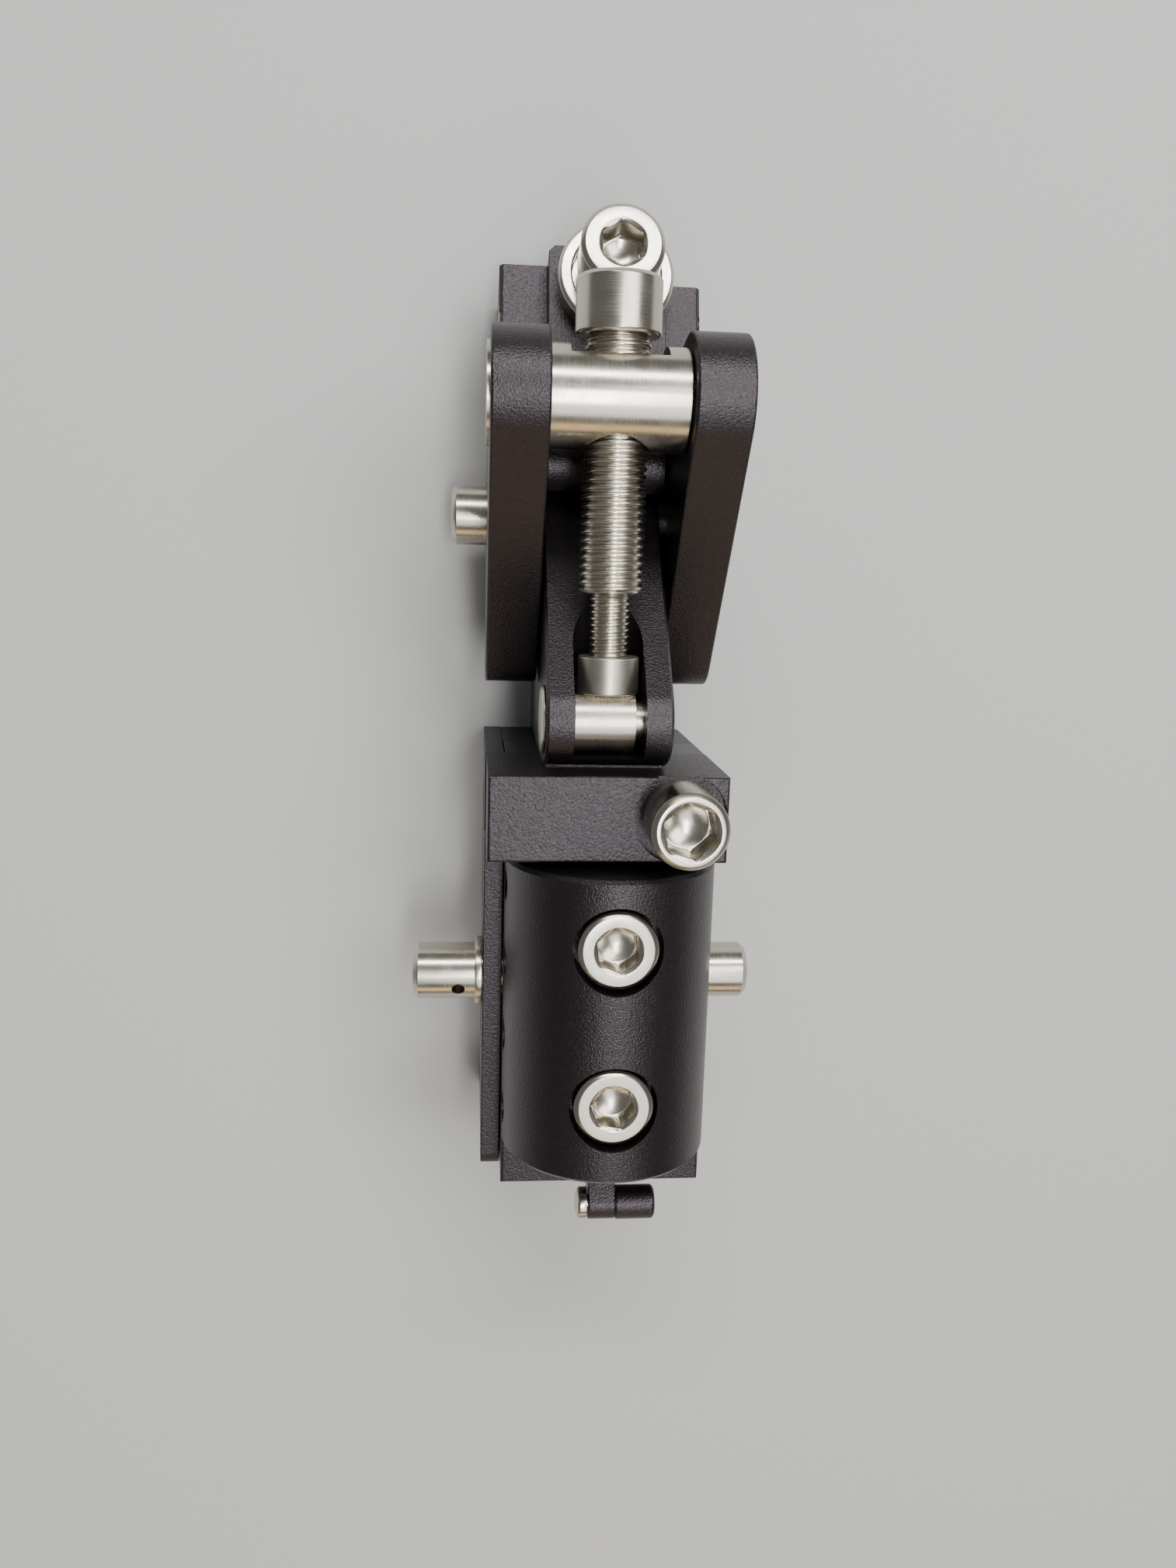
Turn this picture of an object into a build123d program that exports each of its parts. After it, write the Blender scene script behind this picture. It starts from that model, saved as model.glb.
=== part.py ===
"""Swivel clamp: a pin clamp hinged to a rail carriage, with a screw that sets the angle.

Millimetres, +Z up, +Y from the clamp towards the carriage. The origin is on the face that the
clamp rests on, below the middle of the cross pin. The carriage is modelled level, about the
hinge pin, and then turned to its rest angle.
"""
import os

from build123d import *

# Hinge, trunnions and rest angle
HINGE_Y = 62.25
HINGE_Z = 10.5
DROOP = 16.0
SCREW_Z = HINGE_Z + 25.0
UPPER_TRUNNION_Y = HINGE_Y + 13.5
LOWER_TRUNNION_Y = HINGE_Y - 25.0
SWIVEL_X = -0.4

# Fits, in radius
RUNNING = 0.05
THREAD_PLAY = 0.30
PLAY = 0.4

# Longer than any cut has to be
FAR = 60.0

# Countersunk screws (radius, length) and dowels
BASE_SCREW = (2.0, 22.0)
LINK_SCREW = (2.0, 10.0)
CHEEK_SCREW = (1.3, 13.0)
PLATE_SCREW = (1.5, 5.0)
JAW_SCREW = (1.2, 9.3)
DOWEL_R = 2.0
DOWEL_Z0 = 17.0
DOWEL_Z1 = 30.0

# Clamp frame: deck, foot under the cross block, side plate and cross block
FRAME_HALF_W = 14.6
FRAME_Y0 = -27.25
FRAME_Y1 = 31.05
FOOT_Y0 = 20.25
DECK_Z = 14.0
FOOT_Z = 23.9
BLOCK_X0 = -15.1
BLOCK_Z = 41.0
PLATE_X0 = -15.3
PLATE_INNER_X = -12.7
PLATE_Y0 = -27.25
PLATE_Z = 27.5

# Clamp base and cover
CLAMP_X = 1.0
CLAMP_HALF_W = 13.6
SPLIT_Z = 32.2
SPLIT_GAP = 0.4
BARREL_R = 13.6
COVER_Y0 = -20.25
COVER_Y1 = 19.25
PITCH = 10.25
SEAT_R = 1.95
SEAT_YS = (-1.5 * PITCH, -0.5 * PITCH, 0.5 * PITCH, 1.5 * PITCH)
BOLT_YS = (PITCH, -PITCH)
BOLT_R = 2.95
BOLT_HEAD_R = 5.0
BOLT_HEAD_H = 6.0
BOLT_SEAT_Z = 39.2
BOLT_SHANK = 22.2
BOLT_KEY = 5.0
TAP_Z0 = 15.0

# Cross pin
PIN_Z = 22.5
PIN_R = 3.85
PIN_X0 = -24.8
PIN_X1 = 21.6
WIRE_HOLE_R = 0.9
WIRE_HOLE_X = PIN_X0 + 6.2
JOURNAL_R = 4.2
JOURNAL_X0 = -16.35
JOURNAL_X1 = 14.55
PIN_WASHER_R = 4.7

# Lock screw of the cross block
LOCK_X = 8.6
LOCK_Y = 26.0
LOCK_HEAD_R = 4.7
LOCK_HEAD_H = 8.0
LOCK_SEAT_Z = BLOCK_Z - 0.2
LOCK_SHANK = 23.5
LOCK_KEY = 6.0
LOCK_WASHER_H = 1.0
LOCK_SINK_R = 5.8

# Lug with a pin at the lower end
END_LUG_Y = -31.3
END_LUG_Z = 30.4
END_LUG_X0 = -0.4
END_LUG_X1 = 3.3
LUG_R = 2.2
LUG_PIN_R = 1.1
LUG_HEAD_R = 2.15
LUG_PIN_REACH = 3.6
LUG_KNOB_R = 2.3
LUG_KNOB_L = 5.4

# Clevis link and lower trunnion
LINK_HALF_W = 7.75
LINK_X0 = SWIVEL_X - LINK_HALF_W
LINK_X1 = SWIVEL_X + LINK_HALF_W
LINK_R = 8.5
EAR_R = 5.6
LINK_BACK_Z = 34.5
LINK_TONGUE_Z0 = 3.5
LINK_TONGUE_Z1 = 12.0
SLOT_HALF_W = 4.4
SLOT_Y1 = HINGE_Y + 20.0
LOWER_R = 3.85
LOWER_X0 = SWIVEL_X - 4.2
LOWER_X1 = SWIVEL_X + 3.3
LOWER_PIN_R = 2.5
CAP_R = 4.3
CAP_H = 0.45

# Cheeks, upper trunnion and hinge pin
CHEEK_X = {-1: (-15.4, -8.5), 1: (8.05, 14.95)}
CHEEK_EYE_R = 8.0
HINGE_R = 4.0
UPPER_R = 6.1
UPPER_PIN_R = 4.0
UPPER_FLAT_HALF_W = 5.75
HINGE_PIN_X0 = -20.2

# Adjusting screw, from its lower end to the head
JOURNAL_Y0 = LOWER_TRUNNION_Y - 2.5
RETAINER_Y0 = LOWER_TRUNNION_Y - 1.5
RETAINER_Y1 = LOWER_TRUNNION_Y - 0.2
COLLAR_Y0 = LOWER_TRUNNION_Y + LOWER_R - 0.45
COLLAR_Y1 = HINGE_Y - 17.0
M8_Y0 = HINGE_Y - 9.2
HEAD_Y0 = HINGE_Y + 20.5
HEAD_Y1 = HINGE_Y + 27.3
M8_R = 3.95
M5_R = 2.45
HEAD_R = 5.1
UNDERCUT_R = 3.5
UNDERCUT_L = 0.4
HEAD_KEY = 5.0
NECK_R = 2.0
COLLAR_R = 3.75
RETAINER_R = 2.75

# Carriage, level, about the hinge
TONGUE_HALF_W = 7.7
TONGUE_Y1 = 32.2
TONGUE_Z0 = -1.5
TONGUE_Z1 = 14.3
FLANGE_X = 0.8
FLANGE_Y = 27.0
FLANGE_R = 7.5
FLANGE_H = 3.6
JAW_Z = 10.5
JAW_Y0 = 15.8
RAIL_Z = 5.5
BOLT_FOOT_Z = 19.1
RAIL_BOLT_R = 5.25
RAIL_BOLT_H = 6.3
RAIL_BOLT_SHANK = 15.1
SHOE_Y0 = 20.5
SHOE_Y1 = 31.5
SHOE_HALF_W = 4.6
ROOT_Y0 = 9.2
ROOT_Y1 = 15.6
LINK_FLANK = 53.0

level_to_rest = Pos(0, HINGE_Y, HINGE_Z) * Rot(-DROOP, 0, 0)


def block(x0, x1, y0, y1, z0, z1):
    """Box between two corners."""
    size = (x1 - x0, y1 - y0, z1 - z0)
    return Pos((x0 + x1) / 2, (y0 + y1) / 2, (z0 + z1) / 2) * Box(*size)


def rod_x(y, z, r, x0, x1):
    """Cylinder along X."""
    return Pos((x0 + x1) / 2, y, z) * Rot(0, 90, 0) * Cylinder(r, x1 - x0)


def rod_y(x, z, r, y0, y1):
    """Cylinder along Y."""
    return Pos(x, (y0 + y1) / 2, z) * Rot(90, 0, 0) * Cylinder(r, y1 - y0)


def rod_z(x, y, r, z0, z1):
    """Cylinder along Z."""
    return Pos(x, y, (z0 + z1) / 2) * Cylinder(r, z1 - z0)


def hexagon(across_flats, depth):
    """Hexagonal prism that stands on Z = 0 and goes down by depth."""
    return extrude(RegularPolygon(across_flats / 3**0.5, 6), -depth)


def side_hull(circles, x0, x1):
    """Convex outline round circles (y, z, r), carried along X."""
    edges = []
    for y, z, r in circles:
        edges += (Pos(y, z) * Circle(r)).edges()
    outline = Plane.YZ.offset(x0) * make_hull(edges)
    return extrude(outline, x1 - x0, dir=(1, 0, 0))


def bevel(solid, size, axis=Axis.Z, which=-1):
    """Chamfer the edges of the end face that lies furthest along an axis."""
    face = solid.faces().sort_by(axis)[which]
    return chamfer(face.edges(), size)


def cap_screw(head_r, head_h, shank_r, shank_l, across_flats, socket_depth):
    """Socket head screw: head seat on Z = 0, head above, shank below."""
    head = bevel(rod_z(0, 0, head_r, 0, head_h), 0.4)
    head = head - Pos(0, 0, head_h) * hexagon(across_flats, socket_depth)
    shank = bevel(rod_z(0, 0, shank_r, -shank_l, 0), 0.5, which=0)
    return head + shank


def flat_screw(r, length):
    """Countersunk socket screw: top of the head on Z = 0, pointing down."""
    sink = Pos(0, 0, -r / 2) * Cone(r, 2 * r, r)
    shank = rod_z(0, 0, r, -length, -r)
    return sink + shank - hexagon(1.2 * r, 0.8 * r)


def screw_hole(r, length):
    """Hole that a countersunk screw fills, its mouth on Z = 0."""
    return Pos(0, 0, -r / 2) * Cone(r, 2 * r, r) + rod_z(0, 0, r, -length, -r)


def to_side(x, y, z, side):
    """Place a screw in a side face, head outwards; side is -1 (left) or 1 (right)."""
    return Pos(x, y, z) * Rot(0, 90 * side, 0)


# ---- fasteners of the clamp frame, as places that both screws and holes use ----

BASE_SCREWS = [Pos(x, y, 0) * Rot(180, 0, 0) for x in (-7.0, 9.6) for y in (-17.0, 9.5)]
LINK_SCREWS = [Pos(x, 25.0, 0) * Rot(180, 0, 0) for x in (SWIVEL_X - 4.8, SWIVEL_X + 4.8)]
PLATE_SCREWS = [to_side(PLATE_X0, y, 7.0, -1) for y in (-18.0, 4.0, 26.0)]
DOWEL_PLACES = [(-8.0, 25.6), (1.0, 25.6)]


def cut_screws(solid, places, size):
    """Cut the holes that countersunk screws of one size fill."""
    for place in places:
        solid = solid - place * screw_hole(*size)
    return solid


def fasteners(places, size):
    """The countersunk screws themselves."""
    return [place * flat_screw(*size) for place in places]


def frame_body():
    body = block(PLATE_INNER_X, FRAME_HALF_W, FRAME_Y0, FRAME_Y1, 0, DECK_Z)
    body = chamfer(body.edges().filter_by(Axis.Y).group_by(Axis.Z)[0], 0.6)
    body -= block(LINK_X0, LINK_X1, FOOT_Y0, FRAME_Y1, LINK_TONGUE_Z0, LINK_TONGUE_Z1)
    body = cut_screws(body, BASE_SCREWS, BASE_SCREW)
    body = cut_screws(body, LINK_SCREWS, LINK_SCREW)
    return cut_screws(body, PLATE_SCREWS, PLATE_SCREW)


def side_plate():
    plate = block(PLATE_X0, PLATE_INNER_X, PLATE_Y0, FOOT_Y0, 0, PLATE_Z)
    plate += block(PLATE_X0, PLATE_INNER_X, FOOT_Y0, FRAME_Y1, 0, FOOT_Z)
    corners = plate.edges().filter_by(Axis.X).group_by(Axis.Y)[0]
    plate = fillet(corners, 2.0)
    plate -= rod_x(0, PIN_Z, JOURNAL_R + RUNNING, PLATE_X0, PLATE_INNER_X)
    return cut_screws(plate, PLATE_SCREWS, PLATE_SCREW)


def cross_block():
    body = block(BLOCK_X0, FRAME_HALF_W, FOOT_Y0, FRAME_Y1, FOOT_Z, BLOCK_Z)
    body = fillet(body.edges().group_by(Axis.Z)[-1], 0.4)
    body -= rod_z(LOCK_X, LOCK_Y, LOCK_SINK_R, LOCK_SEAT_Z - LOCK_WASHER_H, BLOCK_Z)
    body -= rod_z(LOCK_X, LOCK_Y, BOLT_R + PLAY, FOOT_Z, BLOCK_Z)
    for x, y in DOWEL_PLACES:
        body -= rod_z(x, y, DOWEL_R, FOOT_Z, DOWEL_Z1)
    return body


def block_dowels():
    return [rod_z(x, y, DOWEL_R, DOWEL_Z0, DOWEL_Z1) for x, y in DOWEL_PLACES]


def lock_screw():
    screw = cap_screw(LOCK_HEAD_R, LOCK_HEAD_H, BOLT_R, LOCK_SHANK, LOCK_KEY, 4.5)
    return Pos(LOCK_X, LOCK_Y, LOCK_SEAT_Z) * screw


def lock_washer():
    ring = rod_z(0, 0, LOCK_HEAD_R - RUNNING, -LOCK_WASHER_H, 0)
    ring -= rod_z(0, 0, BOLT_R + RUNNING, -LOCK_WASHER_H, 0)
    return Pos(LOCK_X, LOCK_Y, LOCK_SEAT_Z) * ring


def seats():
    x0 = CLAMP_X - CLAMP_HALF_W
    x1 = CLAMP_X + CLAMP_HALF_W
    cut = Part() + [rod_x(y, SPLIT_Z, SEAT_R, x0, x1) for y in SEAT_YS]
    for x in (x0, x1):
        cut += [Pos(x, y, SPLIT_Z) * Rot(0, 90, 0) * Cylinder(SEAT_R + 0.6, 1.0) for y in SEAT_YS]
    return cut


def clamp_base():
    x0 = CLAMP_X - CLAMP_HALF_W
    x1 = CLAMP_X + CLAMP_HALF_W
    body = block(x0, x1, FRAME_Y0, COVER_Y1, DECK_Z, SPLIT_Z - SPLIT_GAP / 2)
    body = chamfer(body.edges().group_by(Axis.Z)[-1], 0.3)
    body += block(x0, x1, COVER_Y1, FRAME_Y1, DECK_Z, FOOT_Z)
    body -= seats()
    body -= rod_x(0, PIN_Z, JOURNAL_R + RUNNING, x0, x1)
    for y in BOLT_YS:
        body -= rod_z(CLAMP_X, y, BOLT_R + RUNNING, TAP_Z0 + 0.5, SPLIT_Z)
    body -= rod_z(LOCK_X, LOCK_Y, BOLT_R + RUNNING, TAP_Z0, FOOT_Z)
    for x, y in DOWEL_PLACES:
        body -= rod_z(x, y, DOWEL_R, DOWEL_Z0, FOOT_Z)
    return cut_screws(body, BASE_SCREWS, BASE_SCREW)


def clamp_cover():
    barrel = rod_y(CLAMP_X, SPLIT_Z, BARREL_R, COVER_Y0, COVER_Y1)
    above = block(-FAR, FAR, COVER_Y0, COVER_Y1, SPLIT_Z + SPLIT_GAP / 2, FAR)
    cover = barrel & above
    rims = cover.edges().filter_by(GeomType.CIRCLE)
    cover = chamfer(rims, 0.5)
    cover -= seats()
    for y in BOLT_YS:
        cover -= rod_z(CLAMP_X, y, BOLT_HEAD_R + 0.6, BOLT_SEAT_Z, FAR)
        cover -= rod_z(CLAMP_X, y, BOLT_R + RUNNING, 0, FAR)
    return cover


def cover_bolt(y):
    screw = cap_screw(BOLT_HEAD_R, BOLT_HEAD_H, BOLT_R, BOLT_SHANK, BOLT_KEY, 3.2)
    return Pos(CLAMP_X, y, BOLT_SEAT_Z) * screw


def cross_pin():
    pin = rod_x(0, PIN_Z, PIN_R, PIN_X0, PIN_X1)
    pin = bevel(pin, 0.7, Axis.X)
    pin = bevel(pin, 0.7, Axis.X, 0)
    pin += rod_x(0, PIN_Z, JOURNAL_R, JOURNAL_X0, JOURNAL_X1)
    hole = Pos(WIRE_HOLE_X, 0, PIN_Z) * Rot(25, 0, 0) * Cylinder(WIRE_HOLE_R, 2.2 * PIN_R)
    return pin - hole


def pin_washer():
    x0 = PLATE_X0 - 1.0
    x1 = PLATE_X0 - RUNNING
    return rod_x(0, PIN_Z, PIN_WASHER_R, x0, x1) - rod_x(0, PIN_Z, JOURNAL_R + RUNNING, x0, x1)


def end_lug():
    circles = [(END_LUG_Y, END_LUG_Z, LUG_R), (FRAME_Y0 + 3.0, END_LUG_Z - 4.0, LUG_R)]
    lug = side_hull(circles, END_LUG_X0, END_LUG_X1)
    lug &= block(END_LUG_X0, END_LUG_X1, -FAR, FRAME_Y0, 0, FAR)
    return lug - rod_x(END_LUG_Y, END_LUG_Z, LUG_PIN_R + RUNNING, END_LUG_X0, END_LUG_X1)


def lug_pin():
    shank = rod_x(END_LUG_Y, END_LUG_Z, LUG_PIN_R, END_LUG_X0 - 0.3, END_LUG_X1 + LUG_PIN_REACH)
    head = rod_x(END_LUG_Y, END_LUG_Z, LUG_HEAD_R, END_LUG_X0 - 1.8, END_LUG_X0 - 0.2)
    return shank + bevel(head, 0.4, Axis.X, 0)


def lug_knob():
    x0 = END_LUG_X1 + 0.15
    knob = rod_x(END_LUG_Y, END_LUG_Z, LUG_KNOB_R, x0, x0 + LUG_KNOB_L)
    rim = knob.faces().sort_by(Axis.X)[-1].edges()
    knob = fillet(rim, 0.6)
    return knob - rod_x(END_LUG_Y, END_LUG_Z, LUG_PIN_R, 0, END_LUG_X1 + LUG_PIN_REACH)


def clevis_link():
    ear = (LOWER_TRUNNION_Y, SCREW_Z, EAR_R)
    eye = (HINGE_Y, HINGE_Z, LINK_R)
    toe = (FRAME_Y1 + 3.0, 3.0, 3.0)
    heel = (HINGE_Y - 7.0, 3.0, 3.0)
    body = side_hull([ear, eye, toe, heel], LINK_X0, LINK_X1)
    body += block(LINK_X0, LINK_X1, FRAME_Y1, FRAME_Y1 + 4.0, 0, LINK_BACK_Z)
    rims = body.faces().sort_by(Axis.X)
    body = chamfer(rims[0].edges() + rims[-1].edges(), 0.35)
    body += block(LINK_X0, LINK_X1, FOOT_Y0, FRAME_Y1, LINK_TONGUE_Z0, LINK_TONGUE_Z1)
    slot_y0 = LOWER_TRUNNION_Y - LOWER_R - 0.4
    x0 = SWIVEL_X - SLOT_HALF_W
    x1 = SWIVEL_X + SLOT_HALF_W
    slot = block(x0, x1, slot_y0, SLOT_Y1, SCREW_Z, FAR)
    slot += rod_y(SWIVEL_X, SCREW_Z - 0.6, SLOT_HALF_W, slot_y0, SLOT_Y1)
    slot += block(x0, x1, slot_y0, LOWER_TRUNNION_Y + 5, SCREW_Z - 6, SCREW_Z)
    body -= slot
    body -= rod_x(LOWER_TRUNNION_Y, SCREW_Z, LOWER_PIN_R + RUNNING, -FAR, FAR)
    body -= rod_x(HINGE_Y, HINGE_Z, HINGE_R + RUNNING, -FAR, FAR)
    return cut_screws(body, LINK_SCREWS, LINK_SCREW)


def lower_trunnion():
    y = LOWER_TRUNNION_Y
    body = rod_x(y, SCREW_Z, LOWER_R, LOWER_X0, LOWER_X1)
    body += rod_x(y, SCREW_Z, LOWER_PIN_R, LINK_X0 - 0.1, LINK_X1 - 0.2)
    body -= block(LOWER_X0, LOWER_X1, y + LOWER_R - 0.5, y + 10, 0, FAR)
    body -= rod_y(SWIVEL_X, SCREW_Z, NECK_R + RUNNING, JOURNAL_Y0 - 0.1, y + 10)
    return body - rod_y(SWIVEL_X, SCREW_Z, RETAINER_R + 0.1, RETAINER_Y0 - 0.1, RETAINER_Y1 + 0.1)


def trunnion_cap():
    cap = rod_x(LOWER_TRUNNION_Y, SCREW_Z, CAP_R, LINK_X0 - 0.1 - CAP_H, LINK_X0 - 0.1)
    return fillet(cap.faces().sort_by(Axis.X)[0].edges(), 0.3)


def adjusting_screw():
    head = bevel(rod_y(SWIVEL_X, SCREW_Z, HEAD_R, HEAD_Y0, HEAD_Y1), 0.4, Axis.Y)
    across = Pos(SWIVEL_X, HEAD_Y1, SCREW_Z) * Rot(-90, 0, 0) * hexagon(HEAD_KEY, 4.0)
    body = head - across
    body += rod_y(SWIVEL_X, SCREW_Z, UNDERCUT_R, HEAD_Y0 - UNDERCUT_L, HEAD_Y0)
    coarse = rod_y(SWIVEL_X, SCREW_Z, M8_R, M8_Y0, HEAD_Y0 - UNDERCUT_L)
    body += bevel(coarse, 0.6, Axis.Y, 0)
    body += rod_y(SWIVEL_X, SCREW_Z, M5_R, COLLAR_Y1, M8_Y0)
    return body + rod_y(SWIVEL_X, SCREW_Z, NECK_R, JOURNAL_Y0, COLLAR_Y1)


def thrust_collar():
    collar = bevel(rod_y(SWIVEL_X, SCREW_Z, COLLAR_R, COLLAR_Y0, COLLAR_Y1), 0.3, Axis.Y)
    return collar - rod_y(SWIVEL_X, SCREW_Z, NECK_R, COLLAR_Y0, COLLAR_Y1)


def screw_retainer():
    ring = rod_y(SWIVEL_X, SCREW_Z, RETAINER_R, RETAINER_Y0, RETAINER_Y1)
    return ring - rod_y(SWIVEL_X, SCREW_Z, NECK_R, RETAINER_Y0, RETAINER_Y1)


def upper_trunnion():
    y = UPPER_TRUNNION_Y
    body = rod_x(y, SCREW_Z, UPPER_R, CHEEK_X[-1][0] - 0.4, CHEEK_X[1][0] - 0.1)
    body = bevel(body, 0.25, Axis.X)
    body += rod_x(y, SCREW_Z, UPPER_PIN_R, 0, CHEEK_X[1][1] - 0.3)
    x0 = SWIVEL_X - UPPER_FLAT_HALF_W
    x1 = SWIVEL_X + UPPER_FLAT_HALF_W
    body -= block(x0, x1, y + UPPER_R - 1.5, y + 10, 0, FAR)
    return body - rod_y(SWIVEL_X, SCREW_Z, M8_R + THREAD_PLAY, y - 10, y + 10)


# ---- carriage, level, about the hinge ----

def trunnion_in_carriage():
    """Upper trunnion axis (y, z) in the level carriage."""
    point = Vector(0, UPPER_TRUNNION_Y - HINGE_Y, SCREW_Z - HINGE_Z)
    turned = point.rotate(Axis.X, DROOP)
    return turned.Y, turned.Z


EYE_Y, EYE_Z = trunnion_in_carriage()
JAW_X = {-1: (-14.1, 31.3), 1: (13.0, 29.3)}
CHEEK_SCREWS = {
    side: [to_side(side * max(map(abs, CHEEK_X[side])), 11.6, z, side) for z in (2.9, 9.0)]
    for side in (-1, 1)
}
JAW_SCREWS = {
    side: [to_side(JAW_X[side][0], y, 8.0, side) for y in (18.6, 24.2)]
    for side in (-1, 1)
}


def rail_slot():
    """Dovetail groove along Y, open below and at the far end."""
    z0 = TONGUE_Z0 - 1.0
    outline = Polyline((-4.6, z0), (4.6, z0), (6.4, RAIL_Z), (-6.4, RAIL_Z), close=True)
    face = Plane.XZ * make_face(outline)
    return Pos(0, 16.4, 0) * extrude(face, 30.0, dir=(0, 1, 0))


def carriage_body():
    tongue = block(-TONGUE_HALF_W, TONGUE_HALF_W, 0, TONGUE_Y1, 4.0, TONGUE_Z1)
    nose = tongue.edges().filter_by(Axis.X).sort_by(lambda e: e.center().Y - e.center().Z)[0]
    tongue = fillet(nose, 4.0)
    tongue += block(-TONGUE_HALF_W, TONGUE_HALF_W, ROOT_Y0, TONGUE_Y1, TONGUE_Z0, 4.0)
    tongue = chamfer(tongue.edges().group_by(Axis.Y)[-1].filter_by(Axis.Z), 0.8)
    root = block(CHEEK_X[-1][1], CHEEK_X[1][0], ROOT_Y0, ROOT_Y1, TONGUE_Z0, 12.0)
    body = tongue + root
    body -= rod_x(0, 0, LINK_R + 0.6, -FAR, FAR)
    body -= Rot(LINK_FLANK, 0, 0) * block(-FAR, FAR, -FAR, LINK_R + 0.6, 0, FAR)
    body -= rail_slot()
    body -= rod_z(FLANGE_X, FLANGE_Y, BOLT_R + RUNNING, 0, 20)
    for side in (-1, 1):
        body = cut_screws(body, CHEEK_SCREWS[side], CHEEK_SCREW)
        body = cut_screws(body, JAW_SCREWS[side], JAW_SCREW)
    return body


def rail_jaw(side):
    outer, y1 = JAW_X[side]
    x0, x1 = sorted((side * TONGUE_HALF_W, outer))
    jaw = block(x0, x1, JAW_Y0, y1, TONGUE_Z0, JAW_Z)
    edge = jaw.edges().filter_by(Axis.Y).group_by(Axis.Z)[-1].sort_by(Axis.X)[0 if side < 0 else -1]
    jaw = chamfer(edge, 0.5)
    return cut_screws(jaw, JAW_SCREWS[side], JAW_SCREW)


def cheek(side):
    x0, x1 = CHEEK_X[side]
    eye = (EYE_Y, EYE_Z, CHEEK_EYE_R)
    circles = [eye, (-18.6, 2.5, 5.0), (0, 0, 8.0), (10.3, 3.5, 5.0)]
    plate = side_hull(circles, x0, x1)
    rims = plate.faces().sort_by(Axis.X)
    plate = fillet(rims[0].edges() + rims[-1].edges(), 0.35)
    bore = UPPER_R if side < 0 else UPPER_PIN_R
    plate -= rod_x(EYE_Y, EYE_Z, bore + RUNNING, x0, x1)
    plate -= rod_x(0, 0, HINGE_R, x0, x1)
    return cut_screws(plate, CHEEK_SCREWS[side], CHEEK_SCREW)


def hinge_pin():
    pin = rod_x(0, 0, HINGE_R, HINGE_PIN_X0, CHEEK_X[1][1] + 0.5)
    return bevel(bevel(pin, 0.6, Axis.X), 0.6, Axis.X, 0)


def flange_ring():
    ring = rod_z(FLANGE_X, FLANGE_Y, FLANGE_R, TONGUE_Z1, TONGUE_Z1 + FLANGE_H)
    ring = bevel(ring, 0.4)
    ring -= rod_z(FLANGE_X, FLANGE_Y, RAIL_BOLT_R + 0.45, TONGUE_Z1 + 1.8, FAR)
    return ring - rod_z(FLANGE_X, FLANGE_Y, BOLT_R + PLAY, 0, FAR)


def rail_bolt():
    screw = cap_screw(RAIL_BOLT_R, RAIL_BOLT_H, BOLT_R, RAIL_BOLT_SHANK, BOLT_KEY, 3.6)
    return Pos(FLANGE_X, FLANGE_Y, BOLT_FOOT_Z) * screw


def pressure_shoe():
    shoe = block(-SHOE_HALF_W, SHOE_HALF_W, SHOE_Y0, SHOE_Y1, 3.0, RAIL_Z - 0.1)
    shoe = chamfer(shoe.edges().filter_by(Axis.Z), 1.0)
    return shoe - rod_z(FLANGE_X, FLANGE_Y, BOLT_R + RUNNING, 3.9, 10)


def at_rest(shapes):
    if isinstance(shapes, list):
        return [level_to_rest * shape for shape in shapes]
    return level_to_rest * shapes


NODES = {
    "frame_body": frame_body(),
    "side_plate": side_plate(),
    "cross_block": cross_block(),
    "block_dowels": block_dowels(),
    "lock_screw": lock_screw(),
    "lock_screw_washer": lock_washer(),
    "clamp_base": clamp_base(),
    "clamp_cover": clamp_cover(),
    "cover_bolt_upper": cover_bolt(BOLT_YS[0]),
    "cover_bolt_lower": cover_bolt(BOLT_YS[1]),
    "cross_pin": cross_pin(),
    "cross_pin_washer": pin_washer(),
    "end_lug": end_lug(),
    "lug_pin": lug_pin(),
    "lug_knob": lug_knob(),
    "base_screws": fasteners(BASE_SCREWS, BASE_SCREW),
    "link_screws": fasteners(LINK_SCREWS, LINK_SCREW),
    "side_plate_screws": fasteners(PLATE_SCREWS, PLATE_SCREW),
    "clevis_link": clevis_link(),
    "lower_trunnion": lower_trunnion(),
    "trunnion_cap": trunnion_cap(),
    "adjusting_screw": adjusting_screw(),
    "thrust_collar": thrust_collar(),
    "screw_retainer": screw_retainer(),
    "upper_trunnion": upper_trunnion(),
    "carriage_body": at_rest(carriage_body()),
    "left_rail_jaw": at_rest(rail_jaw(-1)),
    "right_rail_jaw": at_rest(rail_jaw(1)),
    "left_cheek": at_rest(cheek(-1)),
    "right_cheek": at_rest(cheek(1)),
    "hinge_pin": at_rest(hinge_pin()),
    "flange_ring": at_rest(flange_ring()),
    "rail_bolt": at_rest(rail_bolt()),
    "pressure_shoe": at_rest(pressure_shoe()),
    "cheek_screws": at_rest(fasteners(CHEEK_SCREWS[-1] + CHEEK_SCREWS[1], CHEEK_SCREW)),
    "jaw_screws": at_rest(fasteners(JAW_SCREWS[-1] + JAW_SCREWS[1], JAW_SCREW)),
}

os.makedirs("parts", exist_ok=True)
for name, shape in NODES.items():
    whole = Compound(shape) if isinstance(shape, list) else shape
    export_step(whole, f"parts/{name}.step")
    print(f"{name:20s} {whole.volume:9.1f} mm3")
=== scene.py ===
# %% [markdown]
# # Swivel clamp, seen from above
#
# The object is a small clamp of black anodised aluminium. A barrel-shaped cover, held by two
# socket screws, presses pins across the clamp. A fork at its upper end is hinged to a carriage
# with two cheeks, and a stainless screw between two trunnions sets the angle.
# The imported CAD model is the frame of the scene: it says where everything is, in metres.

# %% Load the frame
import math

import bmesh
import bpy
import numpy as np
from mathutils import Matrix, Vector


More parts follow.
